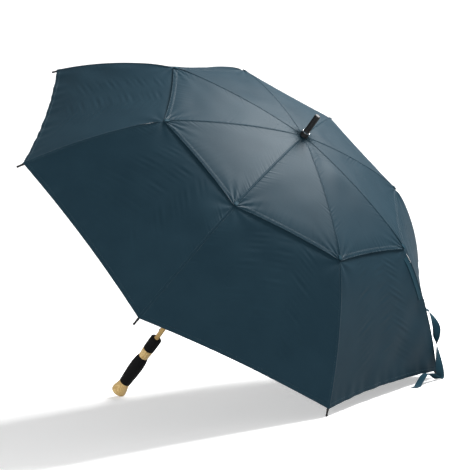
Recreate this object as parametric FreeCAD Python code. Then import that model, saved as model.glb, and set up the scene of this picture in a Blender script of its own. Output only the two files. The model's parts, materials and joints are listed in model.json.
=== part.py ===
"""Golf umbrella with a vented double canopy, standing open on its pommel and two rib tips.

Every piece is modelled in an upright frame first: +Z runs up the shaft to the ferrule, z = 0 is
the plane of the canopy's eight corners, and ribs 4 and 5 stand 22.5 degrees each side of +X.
The last step lays the whole umbrella down on the floor, on the pommel's rim and the tips of
ribs 4 and 5, with the floor at z = 0 and the origin under the middle of its box.
All sizes are in millimetres and all angles in degrees.
"""
import FreeCAD, Part
import math
import os
from FreeCAD import Placement, Rotation, Vector

# ---------------------------------------------------------------- canopy
rib_count = 8
crown_slope = 3.0                # slope of the canopy beside the shaft
inner_arc = (309.5, 12.4)        # length and turn of the canopy's line over a rib, from the shaft
middle_arc = (150.0, 19.6)       # the stretch that bends most, round the stretcher's joint
outer_arc = (263.3, 14.0)        # out to the corner of the canopy
vent_station = 380.8             # from the shaft along the rib to a corner of the top canopy
under_vent = 78.0                # how far the lower canopy runs on under the top one
canopy_hole_radius = 9.5         # of the top canopy round the shaft
fabric = 0.4                     # thickness of the cloth solids
layer_step = 1.0                 # from the top canopy's face down to the lower canopy's face
hem_sag = 0.02                   # how far the middle of a panel stands in, as a share of its radius
vent_drop = 9.0                  # how far the under-vent edge hangs below the top canopy mid-panel
soft_gap = 0.3                   # kept between a cloth solid and what it doesn't belong to

# ---------------------------------------------------------------- ribs and stretchers
rod_radius = 2.0                 # of a rib
rib_eye_radius = 2.6
hinge_circle = 12.0              # radius of the circle of rib hinges, and of stretcher hinges
wire_radius = 0.8                # the ring of wire that the ribs turn on
wire_clearance = 0.3
flex_gap = 0.3                   # round the knuckle where a rib's two lengths meet
joint_before_vent = 12.0         # the stretcher's joint stands this far inside the vent corner
joint_depth = 7.0                # and this far under the rib's centre line
stretcher_length = 356.0
stretcher_radius = 1.9
stretcher_eye_radius = 2.8
rivet_radius = 1.2
pin_clearance = 0.05
tip_radius = 2.6
tip_reach = 18.0                 # a rib's tip past the canopy's corner
closed_lean = 3.0                # a rib's inner length stands this far off the shaft when closed
closed_flex = 25.0               # how far a rib straightens when closed

# ---------------------------------------------------------------- shaft, crown and runner
shaft_radius = 7.0
tenon_radius = 5.0
tenon_length = 27.0              # of the shaft's thinner end inside the ferrule
crown_radius = 15.5
crown_core_radius = 8.8
crown_hub_radius = 9.2
crown_height = 12.0
crown_hub_height = 8.0
rib_slot_gap = 0.3               # each side of a rib in the crown's slot
runner_radius = 15.5
runner_ring_height = 10.0
runner_core_radius = 8.9
runner_sleeve_radius = 8.5
runner_sleeve_length = 40.0
runner_neck = 4.0                # the sleeve's stretch above the ring
runner_clearance = 0.08          # radial, on the shaft
stretcher_slot_gap = 0.3         # each side of a stretcher in the runner's slot
catch_width = 2.6
catch_slot_gap = 0.3             # each side of a catch in the shaft's slot
catch_height = 24.0
catch_lift = 3.2                 # how far a catch stands out of the shaft
catch_press = 9.0                # degrees it turns in when pressed
catch_wall = 3.0                 # least depth of the blade at its pivot
catch_pivot_radius = 1.2
catch_pin_hold = 2.0             # of a catch's pin in the wood each side of the slot
catch_clearance = 0.3            # between a catch and the runner that it holds
catch_window_height = 22.0
stop_pin_radius = 1.2
crown_pin_radius = 0.9

# ---------------------------------------------------------------- handle and ferrule
pommel_end = 716.0               # below the plane of the canopy's corners
pommel_length = 46.0
grip_length = 113.0
spacer_length = 30.0
collar_length = 48.0
collar_radius = 16.7
collar_rounding = 4.0
spacer_top_radius = 16.0
spacer_bottom_radius = 14.4
grip_radii = (14.6, 18.8, 20.0, 18.6, 17.0)
grip_stations = (0.0, 0.18, 0.45, 0.75, 1.0)
pommel_neck_radius = 16.6
pommel_rim_radius = 22.0
pommel_rim_rounding = 5.0
shaft_end_inset = 14.0           # the shaft stops this far inside the pommel
ferrule_base_radius = 10.6
ferrule_base_height = 12.0
ferrule_ring_radius = 9.4
ferrule_ring_height = 2.4
ferrule_neck_radius = 8.2
ferrule_radius = 7.5
ferrule_taper = 8.0
ferrule_height = 67.0
ferrule_rounding = 2.5

# ---------------------------------------------------------------- tie strap
strap_width = 21.0
strap_thickness = 0.8
strap_station = 580.0            # where it leaves the cloth, along the rib
strap_side = 0.20                # from rib 5 (0) to the middle of the panel towards rib 6 (1)
strap_sewn_length = 26.0
strap_lift = 2.2                 # of its middle off the panel's face, over the sewn stretch
# Where it runs from there, from the floor under the tip of rib 5: a point, and its width's way
strap_route = (
    ((11, -13, 172), (-0.56, 0.82, 0.05)),
    ((18, -10, 157), (-0.10, 1.00, 0.00)),
    ((24, -6, 130), (0.71, 0.71, 0.00)),
    ((23, -9, 108), (1.00, 0.00, 0.00)),
    ((22, -11, 88), (0.57, -0.82, 0.00)),
    ((24, -15, 56), (-0.09, -1.00, 0.00)),
    ((27, -20, 22), (-0.70, -0.70, 0.00)),
    ((29, -27, 3), (-0.95, -0.30, 0.00)),
    ((28, -38, 4), (-1.00, -0.20, 0.00)),
    ((24, -62, 20), (-1.00, -0.10, 0.00)),
    ((22, -88, 22), (-1.00, 0.00, 0.00)),
    ((23, -116, 9), (-1.00, 0.10, 0.00)),
    ((25, -134, 1.4), (-1.00, 0.10, 0.00)),
    ((27, -154, 1.2), (-1.00, 0.10, 0.00)),
)


# ================================================================ the canopy's line over a rib

def meridian():
    """The arcs over a rib as (start station, length, turn in radians, r, z, slope), crown first."""
    r, z, slope, station = 0.0, 0.0, math.radians(crown_slope), 0.0
    arcs = []
    for length, degrees in (inner_arc, middle_arc, outer_arc):
        turn = math.radians(degrees)
        arcs.append((station, length, turn, r, z, slope))
        curve = turn / length
        r += (math.sin(slope + turn) - math.sin(slope)) / curve
        z += (math.cos(slope + turn) - math.cos(slope)) / curve
        slope += turn
        station += length
    return [(s, n, t, r0, z0 - z, p) for s, n, t, r0, z0, p in arcs], station


ARCS, RIB_STATION = meridian()
DOME_HEIGHT = ARCS[0][4]


def on_meridian(station, depth=0.0):
    """(r, z, slope) at a station over the rib, on the line that lies depth below the canopy."""
    arc = [a for a in ARCS if a[0] <= station] or ARCS[:1]
    start, length, turn, r, z, slope = arc[-1]
    curve = turn / length
    here = slope + curve * (station - start)
    r += (math.sin(here) - math.sin(slope)) / curve
    z += (math.cos(here) - math.cos(slope)) / curve
    return r - depth * math.sin(here), z - depth * math.cos(here), here


def station_at_radius(radius, depth):
    """The station where the line that lies depth below the canopy is this far from the shaft."""
    low, high = 0.0, RIB_STATION
    for _ in range(60):
        middle = (low + high) / 2
        if on_meridian(middle, depth)[0] < radius:
            low = middle
        else:
            high = middle
    return (low + high) / 2


def rib_frame(station, depth):
    """A placement on a rib at azimuth 0: x along the rib outwards, y across it, z out of the canopy."""
    r, z, slope = on_meridian(station, depth)
    return Placement(Vector(r, 0, z), Rotation(Vector(0, 1, 0), math.degrees(slope)))


# ================================================================ the linkage

RIB_DEPTH = layer_step + fabric + soft_gap + rod_radius
HINGE_STATION = station_at_radius(hinge_circle, RIB_DEPTH)
HINGE_Z = on_meridian(HINGE_STATION, RIB_DEPTH)[1]
JOINT_STATION = vent_station - joint_before_vent
JOINT_R, JOINT_Z, _ = on_meridian(JOINT_STATION, RIB_DEPTH + joint_depth)
FLEX_R, FLEX_Z, _ = on_meridian(vent_station, RIB_DEPTH)
JOINT_CHORD = math.hypot(JOINT_R - hinge_circle, HINGE_Z - JOINT_Z)
RUNNER_Z = JOINT_Z - math.sqrt(stretcher_length ** 2 - (JOINT_R - hinge_circle) ** 2)

open_lean = math.degrees(math.atan2(JOINT_R - hinge_circle, HINGE_Z - JOINT_Z))
RIB_TURN = open_lean - closed_lean
closed_joint_r = hinge_circle + JOINT_CHORD * math.sin(math.radians(closed_lean))
closed_joint_z = HINGE_Z - JOINT_CHORD * math.cos(math.radians(closed_lean))
CLOSED_RUNNER_Z = closed_joint_z - math.sqrt(
    stretcher_length ** 2 - (closed_joint_r - hinge_circle) ** 2
)
RUNNER_TRAVEL = RUNNER_Z - CLOSED_RUNNER_Z
stretcher_open = math.degrees(math.asin((JOINT_R - hinge_circle) / stretcher_length))
stretcher_closed = math.degrees(math.asin((closed_joint_r - hinge_circle) / stretcher_length))
STRETCHER_TURN = RIB_TURN + stretcher_open - stretcher_closed

SLEEVE_BOTTOM = RUNNER_Z - runner_ring_height / 2 - runner_sleeve_length
SLEEVE_TOP = RUNNER_Z + runner_ring_height / 2 + runner_neck
TOP_CATCH_Z = SLEEVE_BOTTOM - catch_clearance - catch_height
CLOSED_SLEEVE_BOTTOM = SLEEVE_BOTTOM - RUNNER_TRAVEL
BOTTOM_CATCH_Z = CLOSED_SLEEVE_BOTTOM + runner_sleeve_length / 3
CATCH_PIVOT_R = shaft_radius - catch_wall / 2 - catch_pivot_radius / 2

COLLAR_TOP = -pommel_end + pommel_length + grip_length + spacer_length + collar_length
CROWN_TOP = on_meridian(crown_radius)[1] - fabric - soft_gap
FERRULE_BOTTOM = on_meridian(canopy_hole_radius)[1] + soft_gap
STRETCHER_ANGLE = 90.0 - stretcher_open


def azimuth(rib):
    """Where rib 1 to 8 stands round the shaft. Ribs 4 and 5 stand either side of +X."""
    return (rib - 1) * 360.0 / rib_count - 3.5 * 360.0 / rib_count


def turned(shape, rib):
    """A copy of a shape that was made at azimuth 0, turned to its rib."""
    copy = shape.copy()
    copy.rotate(Vector(0, 0, 0), Vector(0, 0, 1), azimuth(rib))
    return copy


# ================================================================ plain solids

def rod(radius, bottom, top, x=0.0):
    """An upright round bar between two heights."""
    return Part.makeCylinder(radius, top - bottom, Vector(x, 0, bottom))


def cross_pin(radius, length, x, z):
    """A round bar along y, centred on y = 0."""
    return Part.makeCylinder(radius, length, Vector(x, -length / 2, z), Vector(0, 1, 0))


def block(x, y, z):
    """A box from three (low, high) pairs."""
    size = (x[1] - x[0], y[1] - y[0], z[1] - z[0])
    return Part.makeBox(*size, Vector(x[0], y[0], z[0]))


def turned_profile(edges):
    """A solid of revolution about the shaft from edges in the xz plane, closed along the axis."""
    return Part.Face(Part.Wire(edges)).revolve(Vector(0, 0, 0), Vector(0, 0, 1), 360)


def lathe(points):
    """A solid of revolution with straight flanks from (radius, height) points."""
    corners = [Vector(r, 0, z) for r, z in points]
    return turned_profile(Part.makePolygon(corners + corners[:1]).Edges)


def lathe_curve(points, bore):
    """A hollow turned piece whose outside is one smooth curve through (radius, height) points."""
    outline = Part.BSplineCurve()
    outline.interpolate([Vector(r, 0, z) for r, z in points])
    first, last = points[0], points[-1]
    inner = [Vector(bore, 0, last[1]), Vector(bore, 0, first[1])]
    edges = [outline.toShape()]
    edges.append(Part.makeLine(Vector(last[0], 0, last[1]), inner[0]))
    edges.append(Part.makeLine(*inner))
    edges.append(Part.makeLine(inner[1], Vector(first[0], 0, first[1])))
    return turned_profile(edges)


def cut_all(shape, tools):
    """The shape without any of the tools."""
    for tool in tools:
        shape = shape.cut(tool)
    return shape


# ================================================================ ribs, stretchers

def rib_rod(first, last, radius):
    """The round bar of a rib between two stations, at azimuth 0."""
    pieces = []
    for start, length, turn, *_ in ARCS:
        low, high = max(first, start), min(last, start + length)
        if high <= low:
            continue
        curve = turn / length
        frame = rib_frame(low, RIB_DEPTH)
        section = Part.Face(Part.Wire(Part.makeCircle(radius)))
        section.Placement = frame.multiply(Placement(Vector(), Rotation(Vector(0, 1, 0), 90)))
        centre = frame.multVec(Vector(0, 0, RIB_DEPTH - 1 / curve))
        pieces.append(section.revolve(centre, Vector(0, 1, 0), math.degrees(curve * (high - low))))
    return pieces[0].multiFuse(pieces[1:]).removeSplitter() if pieces[1:] else pieces[0]


def rib_inner():
    """Crown to vent corner: the bar with its eye, the saddle for the stretcher and its rivet."""
    eye = cross_pin(rib_eye_radius, 2 * rod_radius, hinge_circle, HINGE_Z)
    knuckle = cross_pin(rod_radius, rod_radius, FLEX_R, FLEX_Z)
    bar = rib_rod(HINGE_STATION, vent_station, rod_radius).fuse(eye).fuse(knuckle)
    bar = bar.cut(cross_pin(wire_radius + wire_clearance, 3 * rod_radius, hinge_circle, HINGE_Z))
    ear_gap, ear_side, ear_radius = stretcher_radius + 0.3, stretcher_radius + 1.9, 3.3
    seat = rod_radius + 1.4
    saddle = block((-5, 5), (-ear_side, ear_side), (-seat, 0))
    ears = [cross_pin(ear_radius, 2 * ear_side, 0, -joint_depth)]
    ears.append(block((-ear_radius, ear_radius), (-ear_side, ear_side), (-joint_depth, -seat)))
    slot = block((-9, 9), (-ear_gap, ear_gap), (-joint_depth - 9, -seat))
    saddle = saddle.fuse(ears[0]).fuse(ears[1]).cut(slot)
    saddle = saddle.cut(cross_pin(rivet_radius, 4 * ear_side, 0, -joint_depth))
    rivet = cross_pin(rivet_radius, 2 * ear_side, 0, -joint_depth)
    for side in (-1, 1):
        centre = Vector(0, side * ear_side, -joint_depth)
        rivet = rivet.fuse(Part.makeCylinder(rivet_radius + 0.8, 0.8, centre, Vector(0, side, 0)))
    fittings = []
    for fitting in (saddle, rivet):
        fitting.Placement = rib_frame(JOINT_STATION, RIB_DEPTH)
        fittings.append(fitting)
    fittings[0] = fittings[0].cut(bar)
    return Part.makeCompound([bar] + fittings)


def rib_outer():
    """Vent corner to tip: the bar with its hollow for the knuckle, and the tip cap."""
    bar = rib_rod(vent_station, RIB_STATION, rod_radius)
    bar = bar.cut(cross_pin(rod_radius + flex_gap, 9 * rod_radius, FLEX_R, FLEX_Z))
    base = rib_frame(RIB_STATION, RIB_DEPTH)
    past_hem = RIB_DEPTH * math.tan(math.radians(8))
    neck = Part.makeCylinder(rod_radius, past_hem, Vector(), Vector(1, 0, 0))
    cap_length = tip_reach - tip_radius - past_hem
    cap = Part.makeCylinder(tip_radius, cap_length, Vector(past_hem, 0, 0), Vector(1, 0, 0))
    cap = cap.fuse(Part.makeSphere(tip_radius, Vector(tip_reach - tip_radius, 0, 0)))
    for piece in (neck, cap):
        piece.Placement = base
    return Part.makeCompound([bar.fuse(neck), cap.removeSplitter()])


def stretcher():
    """A round strut from the rib's saddle (x = 0) to the runner, with an eye at each end."""
    neck = 6.5
    bar = Part.makeCylinder(
        stretcher_radius, stretcher_length - 2 * neck, Vector(neck, 0, 0), Vector(1, 0, 0)
    )
    half = stretcher_radius
    for at, reach, eye in ((0, neck, stretcher_eye_radius), (stretcher_length, -neck, rib_eye_radius)):
        low, high = sorted((at, at + reach * 1.2))
        bar = bar.fuse(block((low, high), (-half, half), (-1.6, 1.6)))
        bar = bar.fuse(cross_pin(eye, 2 * half, at, 0))
    bar = bar.cut(cross_pin(rivet_radius + pin_clearance, 9 * half, 0, 0))
    bar = bar.cut(cross_pin(wire_radius + wire_clearance, 9 * half, stretcher_length, 0))
    bar.Placement = Placement(
        Vector(JOINT_R, 0, JOINT_Z), Rotation(Vector(0, 1, 0), 180 - STRETCHER_ANGLE)
    )
    return bar


# ================================================================ canopy

def cloth_point(station, across, side, depth, drop=0.0):
    """A point of a panel: across is 0 over the rib at azimuth 0 and 1 at the middle of the panel."""
    r, z, _ = on_meridian(station, depth)
    half = math.radians(180.0 / rib_count)
    reach = across * (1 - soft_gap / 2 / (r * math.sin(half) * math.cos(half)))
    pull = 1 - (1 - reach) ** 2
    x = r * (1 - reach * math.sin(half) ** 2) * (1 - hem_sag * pull)
    y = side * r * reach * math.sin(half) * math.cos(half) * (1 - hem_sag * pull)
    return Vector(x, y, z - drop * pull)


def cloth(first, last, depth, side, drop=None):
    """Half a gore, from the rib to the middle of the panel, as a thin solid at azimuth 0."""
    rows = max(6, round((last - first) / 30))
    grid = []
    for i in range(rows + 1):
        station = first + (last - first) * i / rows
        fall = drop(station) if drop else 0.0
        grid.append([cloth_point(station, j / 4, side, depth, fall) for j in range(5)])
    surface = Part.BSplineSurface()
    surface.interpolate(grid)
    slope = on_meridian((first + last) / 2)[2]
    return surface.toShape().extrude(Vector(math.sin(slope), 0, math.cos(slope)) * -fabric)


def vent_fall(station):
    """How far the lower canopy hangs mid-panel: nothing outside the vent, more towards its edge."""
    inside = min(max((vent_station - station) / under_vent, 0.0), 1.0)
    return vent_drop * inside ** 2 * (3 - 2 * inside)


def canopy_top():
    """One gore of the top canopy, over its rib from the crown to the vent corner."""
    start = station_at_radius(canopy_hole_radius, 0.0)
    return Part.makeCompound([cloth(start, vent_station, 0.0, side) for side in (-1, 1)])


def canopy_panel():
    """One gore of the lower canopy, from under the vent to the hem."""
    start = vent_station - under_vent
    return Part.makeCompound(
        [cloth(start, RIB_STATION, layer_step, side, vent_fall) for side in (-1, 1)]
    )


# ================================================================ shaft, crown, runner, catches

def catch(pivot_z, up):
    """A blade in a slot on the shaft's -X side: its nose is catch_height above or below its pivot."""
    nose = shaft_radius + catch_lift
    inner = CATCH_PIVOT_R - catch_wall / 2
    outer = shaft_radius - 0.4
    shape = [(inner, 0), (outer, 0), (nose, catch_height - 3), (nose, catch_height)]
    shape.append((inner, catch_height))
    corners = [Vector(-r, -catch_width / 2, pivot_z + up * z) for r, z in shape]
    blade = Part.Face(Part.makePolygon(corners + corners[:1])).extrude(Vector(0, catch_width, 0))
    boss = cross_pin(catch_pivot_radius + 0.8, catch_width, -CATCH_PIVOT_R, pivot_z)
    blade = blade.fuse(boss)
    hole = cross_pin(catch_pivot_radius + pin_clearance, 9, -CATCH_PIVOT_R, pivot_z)
    return blade.cut(hole)


def catch_slot(pivot_z, up):
    """The room in the shaft for a catch, pressed or not."""
    ends = sorted((pivot_z - up * 3, pivot_z + up * (catch_height + 1.0)))
    half = catch_width / 2 + catch_slot_gap
    return block((-shaft_radius - 3, 1.5), (-half, half), ends)


def catch_pin(pivot_z):
    """The pin that a catch turns on, across its slot in the shaft."""
    return cross_pin(catch_pivot_radius, catch_width + 2 * (catch_slot_gap + catch_pin_hold), -CATCH_PIVOT_R, pivot_z)


def stop_pin():
    """The pin through the shaft that the runner stops under."""
    z = SLEEVE_TOP + catch_clearance + stop_pin_radius
    return cross_pin(stop_pin_radius, 2 * shaft_radius + 4.4, 0, z)


def crown_pin():
    """The pin that holds the crown on the shaft."""
    z = CROWN_TOP - crown_height - crown_hub_height / 2
    return cross_pin(crown_pin_radius, 2 * crown_hub_radius, 0, z)


def catch_pins():
    """Both catches' pins."""
    return Part.makeCompound([catch_pin(TOP_CATCH_Z), catch_pin(BOTTOM_CATCH_Z + catch_height)])


def shaft():
    """The wooden shaft, slotted for its catches and drilled for its pins."""
    bottom = -pommel_end + shaft_end_inset
    body = rod(shaft_radius, bottom, CROWN_TOP)
    body = body.fuse(rod(tenon_radius, CROWN_TOP, FERRULE_BOTTOM + tenon_length))
    slots = [catch_slot(TOP_CATCH_Z, 1), catch_slot(BOTTOM_CATCH_Z + catch_height, -1)]
    return cut_all(body, slots + [stop_pin(), crown_pin(), catch_pins()])


def crown():
    """The top notch: a slotted ring on the shaft, with a groove for the wire."""
    bottom = CROWN_TOP - crown_height
    body = rod(crown_radius, bottom, CROWN_TOP)
    body = body.fuse(rod(crown_hub_radius, bottom - crown_hub_height, bottom))
    half = rod_radius + rib_slot_gap
    slot = block((crown_core_radius, 2 * crown_radius), (-half, half), (bottom - 1, CROWN_TOP + 1))
    slots = [turned(slot, rib) for rib in range(1, rib_count + 1)]
    groove = Part.makeTorus(hinge_circle, wire_radius + pin_clearance, Vector(0, 0, HINGE_Z))
    return cut_all(body, [rod(shaft_radius, bottom - 99, CROWN_TOP + 9), groove, crown_pin()] + slots)


def crown_wire():
    """The ring of wire that all the ribs turn on."""
    return Part.makeTorus(hinge_circle, wire_radius, Vector(0, 0, HINGE_Z))


def runner():
    """The sliding hub: a slotted ring over a sleeve, with a window for the bottom catch."""
    low, high = RUNNER_Z - runner_ring_height / 2, RUNNER_Z + runner_ring_height / 2
    body = rod(runner_radius, low, high).fuse(rod(runner_sleeve_radius, SLEEVE_BOTTOM, SLEEVE_TOP))
    half = stretcher_radius + stretcher_slot_gap
    slot = block((runner_core_radius, 2 * runner_radius), (-half, half), (low - 1, high + 1))
    slots = [turned(slot, rib) for rib in range(1, rib_count + 1)]
    sill = BOTTOM_CATCH_Z - catch_clearance + RUNNER_TRAVEL
    half = catch_width / 2 + catch_slot_gap
    window = block((-2 * shaft_radius, 0), (-half, half), (sill, sill + catch_window_height))
    bore = rod(shaft_radius + runner_clearance, SLEEVE_BOTTOM - 1, SLEEVE_TOP + 1)
    return cut_all(body, [bore, window] + slots)


# ================================================================ handle and ferrule

def collar_grip():
    """The short foam grip next to the shaft."""
    bottom = COLLAR_TOP - collar_length
    foam = rod(collar_radius, bottom, COLLAR_TOP)
    rims = [e for e in foam.Edges if len(e.Vertexes) == 1]
    return foam.makeFillet(collar_rounding, rims).cut(rod(shaft_radius, bottom - 9, COLLAR_TOP + 9))


def spacer_ring():
    """The wooden ring between the two grips."""
    top = COLLAR_TOP - collar_length
    bottom = top - spacer_length
    middle = (spacer_top_radius + spacer_bottom_radius) / 2 + 0.3
    outside = [(spacer_top_radius, top), (middle, (top + bottom) / 2), (spacer_bottom_radius, bottom)]
    return lathe_curve(outside, shaft_radius)


def main_grip():
    """The long foam grip, swelling in the palm."""
    top = COLLAR_TOP - collar_length - spacer_length
    outside = [(r, top - s * grip_length) for r, s in zip(grip_radii, grip_stations)]
    return lathe_curve(outside, shaft_radius)


def pommel():
    """The flared wooden end of the handle, with a rounded rim and a slightly crowned end."""
    top, end = pommel_length - pommel_end, -pommel_end
    rim, rounding = pommel_rim_radius, pommel_rim_rounding
    rim_z = end + 1.6 + rounding
    side = Part.BSplineCurve()
    neck = [(pommel_neck_radius, top), (pommel_neck_radius + 0.9, top - 0.3 * pommel_length)]
    neck += [(rim - 1.3, top - 0.62 * pommel_length), (rim, rim_z)]
    side.interpolate([Vector(r, 0, z) for r, z in neck])
    corner = rim - rounding
    quarter = math.sqrt(0.5) * rounding
    low = Vector(corner, 0, rim_z - rounding)
    rounded = Part.Arc(Vector(rim, 0, rim_z), Vector(corner + quarter, 0, rim_z - quarter), low)
    flat = Vector(0.25 * corner, 0, end)
    crown_arc = Part.Arc(low, Vector(0.65 * corner, 0, end + 0.5), flat)
    edges = [side.toShape(), rounded.toShape(), crown_arc.toShape()]
    edges.append(Part.makeLine(flat, Vector(0, 0, end)))
    edges.append(Part.makeLine(Vector(0, 0, end), Vector(0, 0, top)))
    edges.append(Part.makeLine(Vector(0, 0, top), Vector(pommel_neck_radius, 0, top)))
    return turned_profile(edges).cut(rod(shaft_radius, end + shaft_end_inset, top + 9))


def ferrule():
    """The spike on top: a base that clamps the cloth, a seat for its ring, and a round-ended stem."""
    z = FERRULE_BOTTOM
    ring_z = z + ferrule_base_height
    neck_z = ring_z + ferrule_ring_height
    points = [(tenon_radius, z), (ferrule_base_radius - 0.6, z), (ferrule_base_radius, z + 0.6)]
    points += [(ferrule_base_radius, ring_z), (ferrule_neck_radius, ring_z)]
    points += [(ferrule_neck_radius, neck_z + 1.0), (ferrule_radius, neck_z + ferrule_taper)]
    top, edge = z + ferrule_height, ferrule_rounding
    points += [(ferrule_radius, top - edge), (ferrule_radius - 0.3 * edge, top - 0.3 * edge)]
    points += [(ferrule_radius - edge, top), (0, top), (0, z + tenon_length), (tenon_radius, z + tenon_length)]
    return lathe(points)


def ferrule_ring():
    """The bright metal ring on the ferrule's base."""
    z = FERRULE_BOTTOM + ferrule_base_height
    ring = rod(ferrule_ring_radius, z, z + ferrule_ring_height)
    return ring.cut(rod(ferrule_neck_radius, z - 1, z + ferrule_ring_height + 1))


# ================================================================ laying it down

def resting_placement():
    """Lays the upright umbrella on the tips of ribs 4 and 5 and on the pommel's rim."""
    r, z, slope = on_meridian(RIB_STATION, RIB_DEPTH)
    reach = tip_reach - tip_radius
    tip_x = (r + reach * math.cos(slope)) * math.cos(math.radians(180.0 / rib_count))
    tip_z = z - reach * math.sin(slope)
    rim_x = pommel_rim_radius - pommel_rim_rounding
    rim_z = -pommel_end + 1.6 + pommel_rim_rounding
    across, along = tip_x - rim_x, tip_z - rim_z
    between = math.acos((pommel_rim_rounding - tip_radius) / math.hypot(across, along))
    elevation = math.degrees(between - math.atan2(along, across))
    return elevation, Placement(Vector(), Rotation(Vector(0, 1, 0), 90 - elevation))


SHAFT_ELEVATION, TILT = resting_placement()


def tip_contact(rib):
    """The lowest point of a rib's round tip once the umbrella lies down, before the last shift."""
    r, z, slope = on_meridian(RIB_STATION, RIB_DEPTH)
    reach = tip_reach - tip_radius
    centre = Vector(r + reach * math.cos(slope), 0, z - reach * math.sin(slope))
    return lying_point(centre, rib) - Vector(0, 0, tip_radius)


def lying_point(point, rib):
    """A point that was worked out at azimuth 0, on its rib and with the resting tilt."""
    return TILT.multVec(Rotation(Vector(0, 0, 1), azimuth(rib)).multVec(point))


def tie_strap():
    """The strap, sewn to the panel past rib 5: a flat ribbon that arches off it, turns over on
    the way down, folds on the floor and ends in front of the canopy."""
    depth = layer_step - strap_lift
    across = lying_point(cloth_point(strap_station, strap_side + 0.05, 1, depth), 5)
    sections = []
    for station in (strap_station - strap_sewn_length, strap_station - strap_sewn_length / 2, strap_station):
        sections.append(lying_point(cloth_point(station, strap_side, 1, depth), 5))
    side = (across - sections[-1]).normalize()
    sections = [(point, side) for point in sections]
    floor = tip_contact(5)
    sections += [(floor + Vector(*point), Vector(*way).normalize()) for point, way in strap_route]
    rings = []
    for i, (point, way) in enumerate(sections):
        before, after = sections[max(i - 1, 0)][0], sections[min(i + 1, len(sections) - 1)][0]
        along = (after - before).normalize()
        way = (way - along * way.dot(along)).normalize() * (strap_width / 2)
        up = along.cross(way).normalize() * (strap_thickness / 2)
        rings.append([point + way + up, point - way + up, point - way - up, point + way - up])
    faces = [rings[0], rings[-1][::-1]]
    for here, there in zip(rings, rings[1:]):
        for i in range(4):
            j = (i + 1) % 4
            # Both broad faces are split along the same diagonal, so the ribbon stays thin in a twist
            fold = (here[j], there[i]) if i < 2 else (here[i], there[j])
            faces.append([here[j], here[i], fold[1]])
            faces.append([fold[0], there[i], there[j]])
    skin = Part.makeCompound([Part.Face(Part.makePolygon(ring + ring[:1])) for ring in faces])
    skin.sewShape()
    solid = Part.Solid(skin.Shells[0])
    return solid if solid.Volume > 0 else solid.reversed()


def tilted(shape):
    """A copy of a shape with the resting tilt put on it."""
    copy = shape.copy()
    copy.rotate(Vector(0, 0, 0), Vector(0, 1, 0), 90 - SHAFT_ELEVATION)
    return copy


def build():
    """All the nodes by name, lying down, and the last shift that puts the origin under them."""
    nodes = {
        "shaft": shaft(),
        "crown": crown(),
        "crown_wire": crown_wire(),
        "crown_pin": crown_pin(),
        "stop_pin": stop_pin(),
        "catch_pins": catch_pins(),
        "top_catch": catch(TOP_CATCH_Z, 1),
        "bottom_catch": catch(BOTTOM_CATCH_Z + catch_height, -1),
        "runner": runner(),
        "collar_grip": collar_grip(),
        "spacer_ring": spacer_ring(),
        "main_grip": main_grip(),
        "pommel": pommel(),
        "ferrule": ferrule(),
        "ferrule_ring": ferrule_ring(),
    }
    per_rib = {
        "rib_{}_inner": rib_inner(),
        "rib_{}_outer": rib_outer(),
        "stretcher_{}": stretcher(),
        "canopy_top_{}": canopy_top(),
        "canopy_panel_{}": canopy_panel(),
    }
    for pattern, shape in per_rib.items():
        for rib in range(1, rib_count + 1):
            nodes[pattern.format(rib)] = turned(shape, rib)
    nodes = {name: tilted(shape) for name, shape in nodes.items()}
    nodes["tie_strap"] = tie_strap()
    box = Part.makeCompound(list(nodes.values())).optimalBoundingBox(False, False)
    floor = tip_contact(5).z
    shift = Vector(-(box.XMin + box.XMax) / 2, -(box.YMin + box.YMax) / 2, -floor)
    for shape in nodes.values():
        shape.translate(shift)
    return nodes, shift


NODES, SHIFT = build()
os.makedirs("parts", exist_ok=True)
for name, shape in NODES.items():
    shape.exportStep(f"parts/{name}.step")
print(f"{len(NODES)} nodes, shaft elevation {SHAFT_ELEVATION:.2f}, dome height {DOME_HEIGHT:.1f}")
print(f"runner travel {RUNNER_TRAVEL:.1f}, rib turn {RIB_TURN:.2f}, stretcher turn {STRETCHER_TURN:.2f}")
print(f"closed sleeve ends {CLOSED_SLEEVE_BOTTOM - COLLAR_TOP:.1f} above the collar grip")
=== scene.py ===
# %% [markdown]
# # A golf umbrella, open and lying on its handle
# The umbrella has a vented double canopy on eight springy ribs, a wooden shaft, and a handle of
# foam and wood. The hard model is loaded first and stays as it is: everything that is made here
# sits around it, in metres, in the same frame, and every made part of the umbrella but the rib
# rods rides on one of its bodies.
# %% The hard model
import json
import math
import bmesh
import bpy
import numpy as np
from mathutils import Matrix, Vector


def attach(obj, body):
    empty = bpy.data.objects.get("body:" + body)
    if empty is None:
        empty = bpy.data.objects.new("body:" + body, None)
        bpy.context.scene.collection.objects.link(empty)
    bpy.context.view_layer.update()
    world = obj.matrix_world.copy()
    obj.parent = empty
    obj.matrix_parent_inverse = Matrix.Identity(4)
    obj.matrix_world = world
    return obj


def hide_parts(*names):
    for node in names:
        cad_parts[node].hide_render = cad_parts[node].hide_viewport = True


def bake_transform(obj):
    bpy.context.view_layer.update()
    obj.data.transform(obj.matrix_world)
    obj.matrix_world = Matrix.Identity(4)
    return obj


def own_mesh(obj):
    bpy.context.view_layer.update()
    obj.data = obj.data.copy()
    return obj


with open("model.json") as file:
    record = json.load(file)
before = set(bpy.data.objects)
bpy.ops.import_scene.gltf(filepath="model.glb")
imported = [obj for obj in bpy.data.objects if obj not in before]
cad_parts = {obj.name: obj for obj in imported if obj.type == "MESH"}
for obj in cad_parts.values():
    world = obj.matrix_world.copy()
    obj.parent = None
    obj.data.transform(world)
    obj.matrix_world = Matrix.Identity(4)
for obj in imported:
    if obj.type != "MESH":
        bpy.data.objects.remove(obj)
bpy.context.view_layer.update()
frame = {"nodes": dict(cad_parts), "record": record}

record = frame["record"]
nodes = frame["nodes"]
joints = {joint["name"]: joint for joint in record["behaviour"]["joints"]}

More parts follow.
